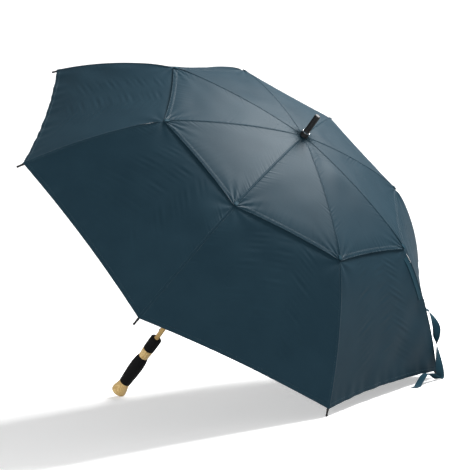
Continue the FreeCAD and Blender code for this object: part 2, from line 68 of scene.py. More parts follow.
# %% [markdown]
# ## One line rules the whole canopy
# Seen from the side, the cloth over a rib follows three arcs: nearly flat at the crown, bending
# most where the strut pushes, and easing again towards the tip. Everything that touches the
# canopy, ribs included, is placed by its distance along that line. Writing the line once, as a
# function, keeps cloth, ribs and stitches together, which separate hand-placed curves wouldn't.
# %% The line over a rib
crown_slope = math.radians(3.0)
arcs = ((0.3095, 12.4), (0.150, 19.6), (0.2633, 14.0))     # metres along it, degrees it turns
rib_count = 8
half_angle = math.pi / rib_count
sin_half, cos_half = math.sin(half_angle), math.cos(half_angle)
vent_station = 0.3808
under_vent = 0.078
canopy_hole = 0.0096
hem_station = sum(length for length, turn in arcs)


def arc_starts():
    """Each arc as (start, curvature, r, z, slope), z measured down from the crown."""
    r, z, slope, station, found = 0.0, 0.0, crown_slope, 0.0, []
    for length, degrees in arcs:
        curve = math.radians(degrees) / length
        found.append((station, curve, r, z, slope))
        r += (math.sin(slope + curve * length) - math.sin(slope)) / curve
        z += (math.cos(slope + curve * length) - math.cos(slope)) / curve
        slope += curve * length
        station += length
    return found, z


arc_table, dome_bottom = arc_starts()


def line(station, depth=0.0):
    """r, z and slope at a distance along the line, depth below the canopy's face."""
    station = np.asarray(station, float)
    r, z, slope = np.zeros_like(station), np.zeros_like(station), np.zeros_like(station)
    for start, curve, r0, z0, slope0 in arc_table:
        on = station >= start
        here = slope0 + curve * (station - start)
        r = np.where(on, r0 + (np.sin(here) - math.sin(slope0)) / curve, r)
        z = np.where(on, z0 + (np.cos(here) - math.cos(slope0)) / curve, z)
        slope = np.where(on, here, slope)
    return r - depth * np.sin(slope), z - dome_bottom - depth * np.cos(slope), slope


canopy_span = 2 * float(line(hem_station)[0])
print("the canopy is", round(-dome_bottom, 4), "deep and", round(canopy_span, 4), "across")

# %% [markdown]
# ## From upright to lying down
# It is easier to think of an umbrella that stands straight, with its shaft along z. The joints of
# the hard model say how it lies: the runner slides down the shaft, so that joint's axis is the
# shaft's direction, and the eight rib hinges stand in a ring round it. Two small functions turn
# upright points into lying ones.
# %% The lying frame
shaft_way = -np.array(joints["runner_slide"]["axis"])
out_way = np.array([shaft_way[2], 0.0, -shaft_way[0]])
side_way = np.array([0.0, 1.0, 0.0])
hinges = np.array([joints[f"rib_{k}_hinge"]["pos_m"] for k in range(1, rib_count + 1)])
rib_depth = 0.0037
hinge_circle = 0.012
hinge_station = 0.01224495
hinge_height = float(line(hinge_station, rib_depth)[1])
origin = hinges.mean(axis=0) - hinge_height * shaft_way


def rib_angle(rib):
    """Where a rib stands round the shaft: ribs 4 and 5 are the two that it rests on."""
    return (rib - 4.5) * 2 * half_angle


def lie(x, y, z, angle=0.0):
    """Upright coordinates, turned round the shaft by angle, as points of the lying umbrella."""
    x, y, z = np.broadcast_arrays(x, y, z)
    turned_x = x * math.cos(angle) - y * math.sin(angle)
    turned_y = x * math.sin(angle) + y * math.cos(angle)
    return origin + turned_x[..., None] * out_way + turned_y[..., None] * side_way + z[..., None] * shaft_way


def lie_way(x, y, z, angle=0.0):
    """The same for a direction."""
    return lie(x, y, z, angle) - origin


miss = np.linalg.norm(lie(hinge_circle, 0.0, hinge_height, rib_angle(1)) - hinges[0])
print("shaft leans", round(math.degrees(math.asin(shaft_way[2])), 2), "degrees")
print("hinge 1 is off by", round(miss * 1000, 3), "mm")

# %% [markdown]
# ## The camera
# The camera stands low and a little turned over, so the canopy fills the frame at a slant. It is
# placed by a point and three angles, because angles can be read and changed, and a matrix of
# nine numbers can't.
# %% Camera
camera_place = Vector((1.9822, -2.3408, 0.4530))
camera_turn, camera_rise, camera_roll = (math.radians(a) for a in (39.661, 0.469, -7.167))
camera_lens = 88.34
forward = Vector((-math.sin(camera_turn) * math.cos(camera_rise),
                  math.cos(camera_turn) * math.cos(camera_rise), -math.sin(camera_rise)))
level = forward.cross(Vector((0, 0, 1))).normalized()
above = level.cross(forward)
right = level * math.cos(camera_roll) + above * math.sin(camera_roll)
up = right.cross(forward)
camera_data = bpy.data.cameras.new("camera")
camera_data.lens = camera_lens
camera_data.sensor_width = 36.0
camera = bpy.data.objects.new("camera", camera_data)
bpy.context.scene.collection.objects.link(camera)
camera.matrix_world = Matrix.Translation(camera_place) @ Matrix((right, up, -forward)).transposed().to_4x4()
bpy.context.scene.camera = camera
print("camera looks along", [round(c, 3) for c in forward])

# %% [markdown]
# ## Finishes
# Each finish is a small node tree. What tells cloth from plastic is less its colour than its
# roughness and its fine relief: a weave for the cloth, grain for the wood, tiny cells for the
# foam. All patterns read the piece's own coordinates, so they stay put when it moves.
# %% Finish helpers


def finish(name, colour, roughness, metallic=0.0, **constant):
    """A material with its shader, and the numbers that are the same all over set on its sockets."""
    material = bpy.data.materials.new(name)
    material.use_nodes = True
    shader = material.node_tree.nodes["Principled BSDF"]
    shader.inputs["Base Color"].default_value = (*colour, 1.0)
    shader.inputs["Roughness"].default_value = roughness
    shader.inputs["Metallic"].default_value = metallic
    for socket, value in constant.items():
        shader.inputs[socket.replace("_", " ")].default_value = value
    return material


def node(material, kind, values=None, **settings):
    """A new node with its settings, and values for its input sockets."""
    made = material.node_tree.nodes.new(kind)
    for key, value in settings.items():
        setattr(made, key, value)
    for key, value in (values or {}).items():
        made.inputs[key].default_value = value
    return made


def join(material, source, target):
    """A link between two sockets."""
    material.node_tree.links.new(source, target)


def placed(material, scale=(1, 1, 1), turn=(0, 0, 0), source="Object"):
    """Coordinates through a Mapping node, turned so that a pattern can run along the piece."""
    coordinates = node(material, "ShaderNodeTexCoord")
    mapping = node(material, "ShaderNodeMapping", {"Scale": scale, "Rotation": turn})
    join(material, coordinates.outputs[source], mapping.inputs["Vector"])
    return mapping.outputs["Vector"]


def two_tones(material, factor, dark, light, low=0.3, high=0.7):
    """Blends the base colour between two tones by a pattern."""
    ramp = node(material, "ShaderNodeValToRGB")
    ramp.color_ramp.elements[0].position = low
    ramp.color_ramp.elements[0].color = (*dark, 1)
    ramp.color_ramp.elements[1].position = high
    ramp.color_ramp.elements[1].color = (*light, 1)
    join(material, factor, ramp.inputs["Fac"])
    join(material, ramp.outputs["Color"], material.node_tree.nodes["Principled BSDF"].inputs["Base Color"])
    return ramp


def relief(material, heights, distance, strength=1.0):
    """Bumps from a list of height sockets, chained one into the next."""
    shader = material.node_tree.nodes["Principled BSDF"]
    last = None
    for height in heights:
        bump = node(material, "ShaderNodeBump", {"Distance": distance, "Strength": strength})
        join(material, height, bump.inputs["Height"])
        if last:
            join(material, last.outputs["Normal"], bump.inputs["Normal"])
        last = bump
    join(material, last.outputs["Normal"], shader.inputs["Normal"])


def varied_roughness(material, factor, low, high):
    """Roughness that a pattern moves between two values."""
    spread = node(material, "ShaderNodeMapRange", {"To Min": low, "To Max": high})
    join(material, factor, spread.inputs["Value"])
    join(material, spread.outputs["Result"], material.node_tree.nodes["Principled BSDF"].inputs["Roughness"])


# %% [markdown]
# ## The cloth's finish
# Umbrella cloth is a tight plain weave with a satin coating. Two crossed bands make the threads,
# a soft noise makes the dye a little uneven, and a weak bluish reflection gives the pale veil that
# such cloth has towards the light. The bands read the cloth's own UV map, laid out in metres.
# %% Cloth finish
thread_pitch = 0.00085
bands_per_metre = 1.0 / thread_pitch / 6.2832      # a Wave texture's scale counts radians


def cloth_finish(name, dark, light):
    """Woven, coated umbrella cloth between two tones."""
    material = finish(name, light, 0.5, Specular_IOR_Level=0.055, Specular_Tint=(0.75, 0.9, 1.0, 1.0))
    threads = []
    for direction in "XY":
        bands = node(material, "ShaderNodeTexWave",
                     {"Scale": bands_per_metre, "Distortion": 0.25, "Detail": 1.0},
                     wave_type="BANDS", bands_direction=direction)
        join(material, placed(material, source="UV"), bands.inputs["Vector"])
        threads.append(bands.outputs["Fac"])
    cloudy = node(material, "ShaderNodeTexNoise", {"Scale": 9.0, "Detail": 4.0, "Roughness": 0.6})
    join(material, placed(material), cloudy.inputs["Vector"])
    two_tones(material, cloudy.outputs["Fac"], dark, light)
    slubs = node(material, "ShaderNodeTexNoise", {"Scale": 420.0, "Detail": 3.0, "Roughness": 0.7})
    join(material, placed(material, (1.0, 0.18, 1.0), source="UV"), slubs.inputs["Vector"])
    varied_roughness(material, slubs.outputs["Fac"], 0.45, 0.56)
    relief(material, threads + [slubs.outputs["Fac"]], 0.00005, 0.45)
    return material


canopy_cloth = cloth_finish("canopy_cloth", (0.0105, 0.0275, 0.0405), (0.0135, 0.0335, 0.0480))
strap_cloth = cloth_finish("strap_webbing", (0.0115, 0.036, 0.052), (0.017, 0.047, 0.066))
thread_finish = finish("sewing_thread", (0.020, 0.055, 0.078), 0.6, Sheen_Weight=0.3)
thread_twist = node(thread_finish, "ShaderNodeTexWave", {"Scale": 900.0}, bands_direction="DIAGONAL")
join(thread_finish, placed(thread_finish), thread_twist.inputs["Vector"])
relief(thread_finish, [thread_twist.outputs["Fac"]], 0.00005, 0.5)

# %% [markdown]
# ## Wood, foam, plastic and metal
# The wood's grain has to run along the shaft, so its coordinates are turned by the shaft's lean
# and stretched along it. Foam is matt with open cells, so it gets two sizes of pits. The plastic
# and metal are plain in colour, and live from small changes in their gloss.
# %% Hard finishes
shaft_turn = (0.0, math.asin(shaft_way[2]), 0.0)


def wood_finish(name, dark, light, coat):
    """Pale varnished wood with its grain along the shaft."""
    material = finish(name, light, 0.42, Coat_Weight=coat, Coat_Roughness=0.22)
    grain = node(material, "ShaderNodeTexNoise",
                 {"Scale": 1.0, "Detail": 6.0, "Roughness": 0.62, "Distortion": 0.4})
    join(material, placed(material, (14.0, 420.0, 420.0), shaft_turn), grain.inputs["Vector"])
    rings = node(material, "ShaderNodeTexWave",
                 {"Scale": 1.0, "Distortion": 5.0, "Detail": 2.0, "Detail Scale": 1.4}, bands_direction="Y")
    join(material, placed(material, (4.0, 95.0, 95.0), shaft_turn), rings.inputs["Vector"])
    blend = node(material, "ShaderNodeMix", {"Factor": 0.35}, data_type="FLOAT")
    join(material, grain.outputs["Fac"], blend.inputs["A"])
    join(material, rings.outputs["Fac"], blend.inputs["B"])
    two_tones(material, blend.outputs["Result"], dark, light, 0.25, 0.72)
    varied_roughness(material, grain.outputs["Fac"], 0.36, 0.50)
    relief(material, [grain.outputs["Fac"]], 0.00006, 0.5)
    return material


def foam_finish(name):
    """Black closed-cell foam, matt and finely pitted."""
    material = finish(name, (0.006, 0.006, 0.007), 0.85, Sheen_Weight=0.04, Specular_IOR_Level=0.2)
    cells = node(material, "ShaderNodeTexVoronoi", {"Scale": 1500.0})
    join(material, placed(material), cells.inputs["Vector"])
    lumps = node(material, "ShaderNodeTexNoise", {"Scale": 260.0, "Detail": 4.0})
    join(material, placed(material), lumps.inputs["Vector"])
    two_tones(material, lumps.outputs["Fac"], (0.0022, 0.0022, 0.0026), (0.0055, 0.0055, 0.006))
    varied_roughness(material, lumps.outputs["Fac"], 0.74, 0.9)
    relief(material, [cells.outputs["Distance"], lumps.outputs["Fac"]], 0.00018, 0.6)
    return material


def plastic_finish(name, colour, roughness, grain_scale):
    """Moulded plastic: a faint grain, and a gloss that isn't quite even."""
    material = finish(name, colour, roughness, Specular_IOR_Level=0.25)
    grain = node(material, "ShaderNodeTexNoise", {"Scale": grain_scale, "Detail": 3.0})
    join(material, placed(material), grain.inputs["Vector"])
    two_tones(material, grain.outputs["Fac"], tuple(0.75 * c for c in colour), tuple(1.3 * c for c in colour))
    varied_roughness(material, grain.outputs["Fac"], roughness - 0.07, roughness + 0.09)
    relief(material, [grain.outputs["Fac"]], 0.00005, 0.35)
    return material


def metal_finish(name, colour, roughness):
    """Drawn metal with fine scratches along the shaft."""
    material = finish(name, colour, roughness, metallic=1.0)
    scratches = node(material, "ShaderNodeTexNoise", {"Scale": 1.0, "Detail": 5.0, "Roughness": 0.7})
    join(material, placed(material, (120.0, 2200.0, 2200.0), shaft_turn), scratches.inputs["Vector"])
    varied_roughness(material, scratches.outputs["Fac"], roughness - 0.06, roughness + 0.12)
    relief(material, [scratches.outputs["Fac"]], 0.00002, 0.4)
    return material


shaft_wood = wood_finish("shaft_wood", (0.50, 0.305, 0.100), (0.74, 0.51, 0.20), 0.3)
handle_wood = wood_finish("handle_wood", (0.68, 0.43, 0.150), (0.92, 0.67, 0.30), 0.35)
grip_foam = foam_finish("grip_foam")
black_plastic = plastic_finish("black_plastic", (0.009, 0.009, 0.010), 0.5, 500.0)
fibreglass = plastic_finish("fibreglass", (0.018, 0.018, 0.020), 0.42, 900.0)
steel = metal_finish("steel", (0.62, 0.63, 0.65), 0.30)
bright_metal = metal_finish("bright_metal", (0.80, 0.80, 0.82), 0.16)
hard_finishes = {
    "shaft": shaft_wood, "spacer_ring": handle_wood, "pommel": handle_wood,
    "collar_grip": grip_foam, "main_grip": grip_foam,
    "crown": black_plastic, "runner": black_plastic, "ferrule": black_plastic,
    "ferrule_ring": bright_metal,
    "crown_wire": steel, "crown_pin": steel, "stop_pin": steel, "catch_pins": steel,
    "top_catch": steel, "bottom_catch": steel,
}
for rib in range(1, rib_count + 1):
    hard_finishes[f"stretcher_{rib}"] = fibreglass


def dress(node_name, material):
    """Gives a piece of the hard model its finish."""
    slots = nodes[node_name].data.materials
    slots.clear()
    slots.append(material)


for node_name, material in hard_finishes.items():
    dress(node_name, material)
print("dressed", len(hard_finishes), "hard pieces")

# %% [markdown]
# ## Making meshes
# Every made piece starts as arrays of points. One helper turns points and faces into an object
# that lies at the origin, as the hard model's pieces do.
# %% Mesh helpers


def new_piece(name, points, faces, material):
    """An object from points and faces."""
    mesh = bpy.data.meshes.new(name)
    mesh.from_pydata([tuple(p) for p in points], [], [tuple(f) for f in faces])
    mesh.materials.append(material)
    mesh.polygons.foreach_set("use_smooth", [True] * len(mesh.polygons))
    mesh.update()
    piece = bpy.data.objects.new(name, mesh)
    bpy.context.scene.collection.objects.link(piece)
    return piece


def unit(ways):
    """Vectors of length one."""
    return ways / np.linalg.norm(ways, axis=-1, keepdims=True)


def steps(start, end, pitch):
    """Evenly spaced values from start to end, about pitch apart."""
    return np.linspace(start, end, max(2, int(round(abs(end - start) / pitch)) + 1))


# %% [markdown]
# ## The canopy's panels
# A panel spans two ribs. Across it the cloth is pulled straight, so a cut across a panel is a
# chord, drawn in a little at its middle. On that even surface lie the things that make it cloth:
# raised seams over the ribs with puckers beside them, gathers where the vent's corners are sewn
# down, hems, and slack ripples. They are true relief here, not only bump in the finish, because
# they show along the edge of the canopy and in low light.
# %% The even surface of a panel
hem_draw_in = 0.02
vent_drop = 0.009


def smooth_step(x):
    """0 below 0, 1 above 1, and an even ease between."""
    x = np.clip(x, 0.0, 1.0)
    return x * x * (3 - 2 * x)


def panel_even(panel, station, across, depth, drop):
    """Points of a panel without its relief. across is -1 over its first rib and 1 over its second."""
    r, z, slope = line(station, depth)
    middle = 1 - across ** 2
    drawn = 1 - hem_draw_in * middle
    x = r * cos_half * drawn
    y = r * sin_half * across * drawn
    return lie(x, y, z - drop(station) * middle, rib_angle(panel) + half_angle)


def no_drop(station):
    """The top canopy doesn't hang below its line."""
    return 0.0


def under_drop(station):
    """The lower canopy's hidden edge hangs below the top canopy, so that air can pass."""
    return vent_drop * smooth_step((vent_station - station) / under_vent)


def panel_normals(surface, station, across):
    """Outward normals of a surface function by small steps, never past a rib."""
    step_s, step_a = 0.0002, 0.0005
    along = surface(station + step_s, across) - surface(station - step_s, across)
    high, low = np.minimum(across + step_a, 1.0), np.maximum(across - step_a, -1.0)
    sideways = surface(station, high) - surface(station, low)
    return unit(np.cross(along, sideways))


# %% [markdown]
# ## The relief of the cloth
# Ripples in cloth aren't even waves. Adding a few waves of slightly different lengths, each with
# its own start, gives bands that swell and fade as real puckers do. Every panel has its own seed,
# so no two are alike and the result is the same on each run.
# %% Ripples and seams


def waves(seed, x, length):
    """Uneven ripples between about -1 and 1."""
    starts = np.random.default_rng(seed).uniform(0, 2 * math.pi, 4)
    total = 0.0
    for start, stretch in zip(starts, (0.71, 0.9, 1.13, 1.62)):
        total = total + np.sin(2 * math.pi * x / (length * stretch) + start)
    return total / 2.6


def seam_distance(station, across):
    """How far a point of a panel is from its nearer seam, in metres."""
    return (1 - np.abs(across)) * line(station)[0] * sin_half


welt_height, welt_width = 0.0012, 0.0024
pucker_height, pucker_reach, pucker_pitch = 0.00042, 0.014, 0.0125
slack_height, crease_height = 0.0011, 0.00052
hem_width, hem_rise = 0.0115, 0.0012
stitch_inset, groove_depth, groove_width = 0.0095, 0.0004, 0.0009


def seam_relief(seed, station, across):
    """A welt over the rib, and puckers that run off it."""
    away = seam_distance(station, across)
    welt = welt_height * np.exp(-((away / welt_width) ** 2))
    off = np.exp(-away / pucker_reach) * (1 - np.exp(-((away / 0.003) ** 2)))
    first, second = (waves(seed + i, station + 0.4 * away, pucker_pitch) for i in (0, 1))
    busy = 0.55 + 0.45 * waves(seed + 2, station, 0.16)
    return welt + pucker_height * off * busy * np.where(across < 0, first, second)


def slack_relief(seed, station, across):
    """Broad soft waves that the tension leaves in a panel."""
    away = seam_distance(station, across)
    sideways = across * line(station)[0] * sin_half
    broad = waves(seed, station + 0.35 * sideways, 0.15) * waves(seed + 1, sideways, 0.21)
    return slack_height * broad * smooth_step(away / 0.035)


def crease_relief(seed, station, across, first, last):
    """Columns of short slanting creases down a panel, from being packed."""
    sideways = across * line(station)[0] * sin_half
    rng = np.random.default_rng(seed)
    total = 0.0
    for centre, slant in ((-0.42, 0.42), (0.36, -0.5), (0.05, 0.3)):
        centre = centre + rng.uniform(-0.06, 0.06)
        column = np.exp(-((across - centre) / 0.13) ** 2)
        strength = rng.uniform(0.5, 1.0)
        crease = waves(seed + int(100 * centre), station + slant * sideways, 0.021)
        total = total + strength * column * crease
    fade = smooth_step((station - first) / 0.03) * smooth_step((last - station) / 0.12)
    return crease_height * total * fade


def hem_groove(inside):
    """The row where the hem's stitches sink in, from the distance inside the edge."""
    return groove_depth * np.exp(-(((inside - stitch_inset) / groove_width) ** 2))


def gathered(spread, reach):
    """0 at a corner and far from it, and 1 a set reach away."""
    return np.minimum(spread / reach * np.exp(1 - spread / reach), 1.0)


def top_relief(panel):
    """The relief of one panel of the top canopy."""
    seed = 1000 * panel

    def height(station, across):
        away = seam_distance(station, across)
        before = vent_station - station
        spread = np.hypot(before, away)
        angle = np.arctan2(away, before + 1e-6)
        turn = np.where(across < 0, 2.1, 4.4)
        folds = 0.0011 * gathered(spread, 0.018) * (0.5 + 0.5 * np.cos(11 * angle + turn + panel))
        pleats = 0.5 + 0.5 * np.cos(9 * across * math.pi + panel)
        at_crown = 0.0008 * np.exp(-(station - canopy_hole) / 0.03) * pleats
        near_hem = smooth_step(1 - before / 0.07)
        lift = 0.0024 * near_hem * (1 - across ** 2)
        hem = 0.0006 * smooth_step((hem_width - before) / hem_rise)
        ripple = 0.0005 * near_hem * waves(seed + 5, across * 0.145, 0.034) * smooth_step(away / 0.02)
        total = seam_relief(seed + 10, station, across) + folds + at_crown + lift
        total = total + hem - hem_groove(before) + np.abs(ripple)
        total = total + slack_relief(seed + 20, station, across) * (1 - near_hem)
        return np.maximum(total, -0.0012 * (1 - near_hem))

    return height


def lower_relief(panel):
    """The relief of one panel of the lower canopy, from the vent to its hem."""
    seed = 1000 * panel + 500

    def height(station, across):
        away = seam_distance(station, across)
        left = hem_station - station
        hem = 0.0007 * smooth_step((hem_width - left) / hem_rise)
        flutter = 0.0011 * smooth_step(1 - left / 0.06) * smooth_step(away / 0.03)
        flutter = flutter * waves(seed + 7, across * 0.243, 0.055)
        clear = smooth_step((station - vent_station + 0.004) / 0.03)
        inner = 1.3 * slack_relief(seed + 20, station, across)
        inner = inner + crease_relief(seed + 40, station, across, vent_station, hem_station)
        spread = np.hypot(station - vent_station, away)
        angle = np.arctan2(away, station - vent_station + 1e-6)
        pull = 0.0011 * gathered(spread, 0.022) * np.cos(8 * angle + panel)
        seams = seam_relief(seed + 10, station, across)
        return clear * (seams + inner + pull) + hem - hem_groove(left) + flutter

    return height


def under_relief(panel):
    """Under the vent the cloth is plain, with a turned edge."""
    seed = 1000 * panel + 700
    edge = vent_station - under_vent

    def height(station, across):
        near_vent = smooth_step(1 - (vent_station - station) / 0.02)
        off_seam = smooth_step(seam_distance(station, across) / 0.02)
        soft = -0.0008 * (0.5 + 0.5 * waves(seed, across * 0.12, 0.04)) * off_seam
        turned = -0.0005 * smooth_step((edge + 0.008 - station) / 0.001)
        return (soft + turned) * (1 - near_vent)

    return height


# %% [markdown]
# ## Half a panel at a time
# When the umbrella closes, each panel folds down its middle and its halves draw in to their own
# ribs. So a panel is made as two halves that meet exactly, and each rides on its rib. Their
# normals come from the surface's formula, not from the faces, so the cut between them can't be
# seen. Each half is a closed shell half a millimetre thick.
# %% Half panels
cloth_thickness = 0.0005
seam_nodes = [0.0, 0.003, 0.0065, 0.0105, 0.0155, 0.022, 0.030, 0.040, 0.052, 0.067, 0.085, 0.106]
across_nodes = np.array(seam_nodes + list(np.linspace(0.13, 1.0, 41)))


def surface_of(panel, height, depth, drop):
    """The full surface of a panel as a function of station and across."""
    def even(station, across):
        return panel_even(panel, station, across, depth, drop)

    def full(station, across):
        station, across = np.broadcast_arrays(np.asarray(station, float), np.asarray(across, float))
        points = even(station, across)
        normals = panel_normals(even, station, across)
        slope = line(station)[2]
        over_rib = np.zeros_like(points)
        for side in (-1, 1):
            angle = rib_angle(panel) + half_angle * (1 + side)
            way = lie_way(np.sin(slope), np.zeros_like(slope), np.cos(slope), angle)
            over_rib = np.where((np.sign(across) == side)[..., None], way, over_rib)
        near = np.exp(-((seam_distance(station, across) / 0.003) ** 2))[..., None]
        ways = unit(normals * (1 - near) + over_rib * near)
        return points + ways * height(station, across)[..., None]

    return full


def half_panel(name, surface, stations, side, material):
    """One half as a closed shell. side is -1 for the half on the panel's first rib, 1 for the other."""
    across = side * (1 - across_nodes)
    grid_s, grid_a = np.meshgrid(stations, across, indexing="ij")
    outer = surface(grid_s, grid_a)
    normals = panel_normals(surface, grid_s, grid_a)
    inner = outer - normals * cloth_thickness
    rows, columns = grid_s.shape
    count = rows * columns
    index = np.arange(count).reshape(rows, columns)
    a, b, c, d = index[:-1, :-1], index[1:, :-1], index[1:, 1:], index[:-1, 1:]
    top = np.stack([a, b, c, d], axis=-1).reshape(-1, 4)
    if side > 0:
        top = top[:, ::-1]
    bottom = top[:, ::-1] + count
    rim = np.concatenate([index[0, :-1], index[:-1, -1], index[-1, :0:-1], index[:0:-1, 0]])
    after = np.roll(rim, -1)
    walls = np.stack([rim, after, after + count, rim + count], axis=-1)
    if side < 0:
        walls = walls[:, ::-1]
    piece = new_piece(name, np.concatenate([outer.reshape(-1, 3), inner.reshape(-1, 3)]),
                      np.concatenate([top, bottom, walls[:, ::-1]]), material)
    mesh = piece.data
    width = grid_a * line(grid_s)[0] * sin_half
    uv = np.tile(np.stack([grid_s, width], axis=-1).reshape(-1, 2), (2, 1))
    corners = np.empty(len(mesh.loops), dtype=np.int32)
    mesh.loops.foreach_get("vertex_index", corners)
    mesh.uv_layers.new(name="cloth").data.foreach_set("uv", uv[corners].ravel())
    mesh.normals_split_custom_set_from_vertices(
        [tuple(n) for n in np.concatenate([normals.reshape(-1, 3), -normals.reshape(-1, 3)])])
    return piece


def fold_to_rib(piece, rib, side, station):
    """Gives the piece its own mesh; the ways to its rib are worked out but not used, so nothing draws in."""
    r, z, slope = (float(v) for v in line(station))
    inward = lie_way(-math.sin(slope), 0.0, -math.cos(slope), rib_angle(rib))
    tangent = lie_way(0.0, float(side), 0.0, rib_angle(rib))
    anchor = lie(r, 0.0, z, rib_angle(rib))
    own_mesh(piece)


hem_zone, crown_zone, under_zone = 0.013, 0.02, 0.01     # where the rows of points lie closer together
under_start = vent_station - under_vent
top_rows = np.concatenate([steps(canopy_hole, crown_zone, 0.0015)[:-1],
                           steps(crown_zone, vent_station - hem_zone, 0.003)[:-1],
                           steps(vent_station - hem_zone, vent_station, 0.0009)])
lower_rows = np.concatenate([steps(vent_station, hem_station - hem_zone, 0.003)[:-1],
                             steps(hem_station - hem_zone, hem_station, 0.0009)])
under_rows = np.concatenate([steps(under_start, under_start + under_zone, 0.001)[:-1],
                             steps(under_start + under_zone, vent_station, 0.004)])
layers = {
    # name: rows, relief, depth below the face, drop, body, middle station, lean in degrees, keep
    "top": (top_rows, top_relief, 0.0, no_drop, "rib_{}", 0.26, 5.5, 0.16),
    "under": (under_rows, under_relief, 0.001, under_drop, "rib_{}", 0.345, 9.0, 0.15),
    "lower": (lower_rows, lower_relief, 0.001, no_drop, "rib_{}_outer", 0.60, 12.0, 0.095),
}
side_words = {-1: "left", 1: "right"}
surfaces = {}
cloth_pieces = {}
for layer, (rows, make_relief, depth, drop, body, middle_station, lean, keep) in layers.items():
    for panel in range(1, rib_count + 1):
        surface = surface_of(panel, make_relief(panel), depth, drop)
        surfaces[layer, panel] = surface
        for side in (-1, 1):
            rib = panel if side < 0 else panel % rib_count + 1
            name = f"canopy_{layer}_{panel}_{side_words[-side]}"
            piece = half_panel(name, surface, rows, side, canopy_cloth)
            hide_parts(f"canopy_top_{rib}" if layer == "top" else f"canopy_panel_{rib}")
            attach(piece, body.format(rib))
            fold_to_rib(piece, rib, -side, middle_station)
            rod = f"rib_{rib}_outer" if layer == "lower" else f"rib_{rib}_inner"
            cloth_pieces[layer, rib, -side] = piece
print("cloth pieces", len(cloth_pieces), "faces", sum(len(p.data.polygons) for p in cloth_pieces.values()))

# %% [markdown]
# ## Rods, and what follows a line
# Ribs, stitches and threads all follow a line, which is what Geometry Nodes does well: a curve
# goes in, and a swept bar or a row of small copies comes out. Each tree has named inputs, so the
# same tree serves every rib. The result is turned into a plain mesh at once.
# %% Node tree helpers


def new_tree(name, inputs):
    """An empty tree with named inputs, and its two end nodes."""
    tree = bpy.data.node_groups.new(name, "GeometryNodeTree")
    tree.interface.new_socket("Line", in_out="INPUT", socket_type="NodeSocketGeometry")
    for label, kind, value in inputs:
        socket = tree.interface.new_socket(label, in_out="INPUT", socket_type=kind)
        if value is not None:
            socket.default_value = value
    tree.interface.new_socket("Geometry", in_out="OUTPUT", socket_type="NodeSocketGeometry")
    return tree, tree.nodes.new("NodeGroupInput"), tree.nodes.new("NodeGroupOutput")


def close_tree(tree, last, start, end):
    """Ends a tree with Realize Instances and Set Material."""
    realize = tree.nodes.new("GeometryNodeRealizeInstances")
    paint = tree.nodes.new("GeometryNodeSetMaterial")
    tree.links.new(last, realize.inputs[0])
    tree.links.new(realize.outputs[0], paint.inputs["Geometry"])
    tree.links.new(start.outputs["Material"], paint.inputs["Material"])
    tree.links.new(paint.outputs[0], end.inputs[0])


def line_object(name, lines):
    """A curve object whose splines are straight runs through the given rows of points."""
    data = bpy.data.curves.new(name, "CURVE")
    data.dimensions = "3D"
    for points in lines:
        spline = data.splines.new("POLY")
        spline.points.add(len(points) - 1)
        spline.points.foreach_set("co", np.column_stack([points, np.ones(len(points))]).ravel())
    carrier = bpy.data.objects.new(name, data)
    bpy.context.scene.collection.objects.link(carrier)
    return carrier


def grow(name, tree, lines, **values):
    """Runs a tree on some lines and keeps the result as a plain mesh object."""
    carrier = line_object(name + "_line", lines)
    modifier = carrier.modifiers.new("grow", "NODES")
    modifier.node_group = tree
    for item in tree.interface.items_tree:
        label = item.name.replace(" ", "_")
        if item.item_type == "SOCKET" and item.in_out == "INPUT" and label in values:
            modifier[item.identifier] = values[label]
    bpy.context.view_layer.update()
    graph = bpy.context.evaluated_depsgraph_get()
    mesh = bpy.data.meshes.new_from_object(carrier.evaluated_get(graph))
    bpy.data.objects.remove(carrier)
    mesh.name = name
    piece = bpy.data.objects.new(name, mesh)
    bpy.context.scene.collection.objects.link(piece)
    return piece


# %% [markdown]
# ## A bar swept along a line
# A rib is one pultruded rod of black fibreglass. Sweeping a circle along the rib's own line gives
# it exactly, with a closed end each side.
# %% Tree: round bar


def bar_tree():
    """A round bar along each line."""
    tree, start, end = new_tree("Round bar", [
        ("Radius", "NodeSocketFloat", 0.002), ("Sides", "NodeSocketInt", 16),
        ("Material", "NodeSocketMaterial", None)])
    ring = tree.nodes.new("GeometryNodeCurvePrimitiveCircle")
    sweep = tree.nodes.new("GeometryNodeCurveToMesh")
    sweep.inputs["Fill Caps"].default_value = True
    smooth = tree.nodes.new("GeometryNodeSetShadeSmooth")
    tree.links.new(start.outputs["Sides"], ring.inputs["Resolution"])
    tree.links.new(start.outputs["Radius"], ring.inputs["Radius"])
    tree.links.new(start.outputs["Line"], sweep.inputs["Curve"])
    tree.links.new(ring.outputs["Curve"], sweep.inputs["Profile Curve"])
    tree.links.new(sweep.outputs["Mesh"], smooth.inputs["Geometry"])
    close_tree(tree, smooth.outputs["Geometry"], start, end)
    return tree


round_bar = bar_tree()
rod_radius = 0.002
joint_station, joint_depth = vent_station - 0.012, 0.007
blend_reach = 0.022
rod_start = 0.0122
rib_stations = steps(rod_start, hem_station, 0.004)


def rib_point(rib, station, depth=rib_depth, sideways=0.0):
    """A point of a rib's line, or one beside or under it."""
    r, z, slope = line(station, depth)
    return lie(r, sideways, z, rib_angle(rib))


def rib_ways(rib, station):
    """Directions along a rib, across it, and out of the canopy."""
    slope = float(line(station)[2])
    angle = rib_angle(rib)
    return (lie_way(math.cos(slope), 0.0, -math.sin(slope), angle), lie_way(0.0, 1.0, 0.0, angle),
            lie_way(math.sin(slope), 0.0, math.cos(slope), angle))


